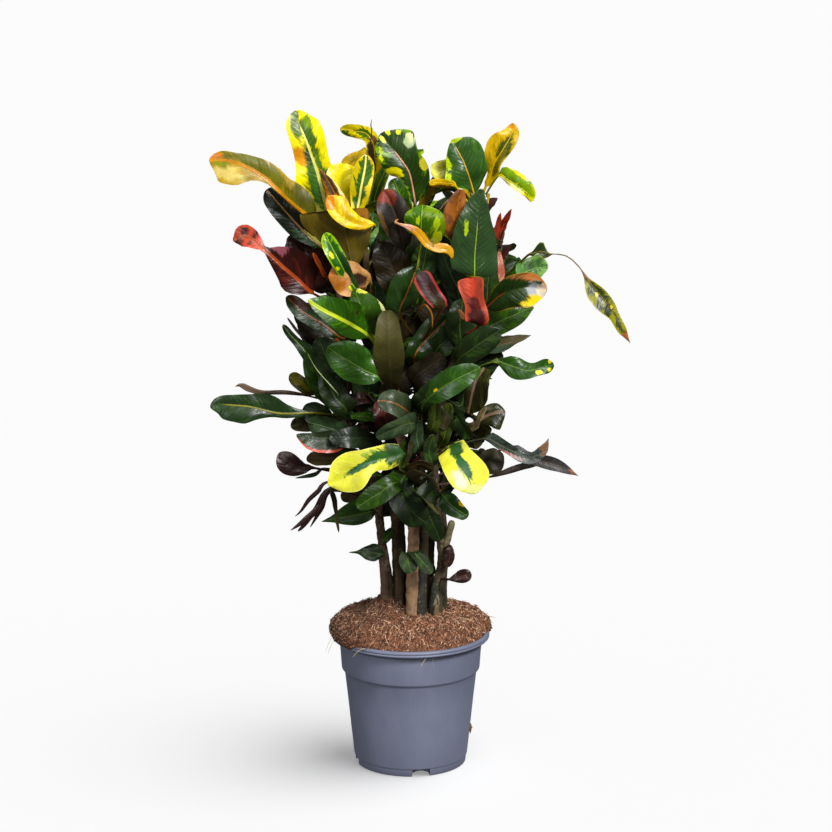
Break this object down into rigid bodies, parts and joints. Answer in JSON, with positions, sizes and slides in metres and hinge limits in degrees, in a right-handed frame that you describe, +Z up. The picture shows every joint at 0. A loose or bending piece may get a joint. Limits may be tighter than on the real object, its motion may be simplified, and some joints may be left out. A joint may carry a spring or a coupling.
{
  "type": "potted croton",
  "caption": "Bushy potted croton: leafy woody stems with curled, twisted, blotched leaves, standing in coir in a round nursery pot.",
  "frame": {"origin": "centre of the pot's underside, on the surface that the pot stands on", "axes": "+Z up along the pot's axis, -Y towards the front, +X to the right as seen from the front"},
  "size_m": [0.548, 0.3783, 0.8763],
  "materials": {
    "pot": "satin moulded plastic",
    "soil": "loose coir fibre and chips",
    "plant_1": "waxy leaves, yellow and red",
    "plant_2": "waxy leaves, yellow and green",
    "plant_3": "waxy leaves, dark green",
    "plant_4": "waxy leaves, green with yellow spots",
    "plant_5": "waxy leaves, green and yellow",
    "plant_6": "waxy leaves, dark green",
    "plant_7": "waxy leaves, red and green"
  },
  "bodies": {
    "root": {"pot": "pot", "soil": "soil", "plant_1": "plant_1", "plant_2": "plant_2", "plant_3": "plant_3", "plant_4": "plant_4", "plant_5": "plant_5", "plant_6": "plant_6", "plant_7": "plant_7"}
  },
  "joints": []
}
